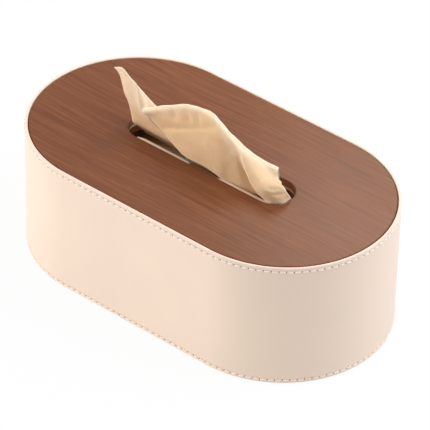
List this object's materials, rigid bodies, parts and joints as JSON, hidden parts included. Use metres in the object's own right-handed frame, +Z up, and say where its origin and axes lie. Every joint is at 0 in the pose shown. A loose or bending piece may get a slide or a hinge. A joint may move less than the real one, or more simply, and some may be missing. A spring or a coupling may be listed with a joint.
{
  "type": "napkin box",
  "caption": "Oval free-standing napkin box: leather-wrapped wall with stitched hems, drop-in wooden lid with a long round-ended slot, and a napkin drawn up through it.",
  "frame": {"origin": "on the floor under the middle of the box", "axes": "+X along the box, towards the end that is nearer in the picture; -Y the front long side; +Z up"},
  "size_m": [0.2542, 0.1412, 0.1252],
  "materials": {
    "cream_leather": "satin, fine grain",
    "thread": "twisted thread",
    "walnut": "satin lacquer, straight grain",
    "board": "raw fibreboard",
    "felt": "short felt",
    "suede": "brushed suede cloth",
    "rubber": "matte",
    "backing": "soft, matte",
    "napkin": "soft unbleached tissue",
    "napkin_stack": "loose stack of soft unbleached tissue"
  },
  "bodies": {
    "box": {"leather_sleeve": "cream_leather", "core_front_panel": "board", "core_back_panel": "board", "core_left_end": "board", "core_right_end": "board", "wall_lining": "felt", "base_board": "board", "base_lining": "felt", "base_cover": "suede", "rubber_feet": "rubber", "top_stitching": "thread", "bottom_stitching": "thread", "seam_stitching": "thread", "napkin_pack": "napkin_stack"},
    "lid": {"lid_face_veneer": "walnut", "lid_core": "board", "lid_edge_band": "walnut", "slot_edge_band": "walnut", "lid_backing": "backing", "lid_plug": "walnut", "slot_strip_front": "backing", "slot_strip_back": "backing"},
    "napkin": {"pulled_napkin": "napkin"}
  },
  "joints": [
    {"name": "lid_lift", "type": "slide", "parent": "box", "child": "lid", "axis": [0, 0, 1], "range_m": [0, 0.06]},
    {"name": "napkin_pull", "type": "slide", "parent": "lid", "child": "napkin", "axis": [0, 0, 1], "range_m": [0, 0.05]}
  ]
}
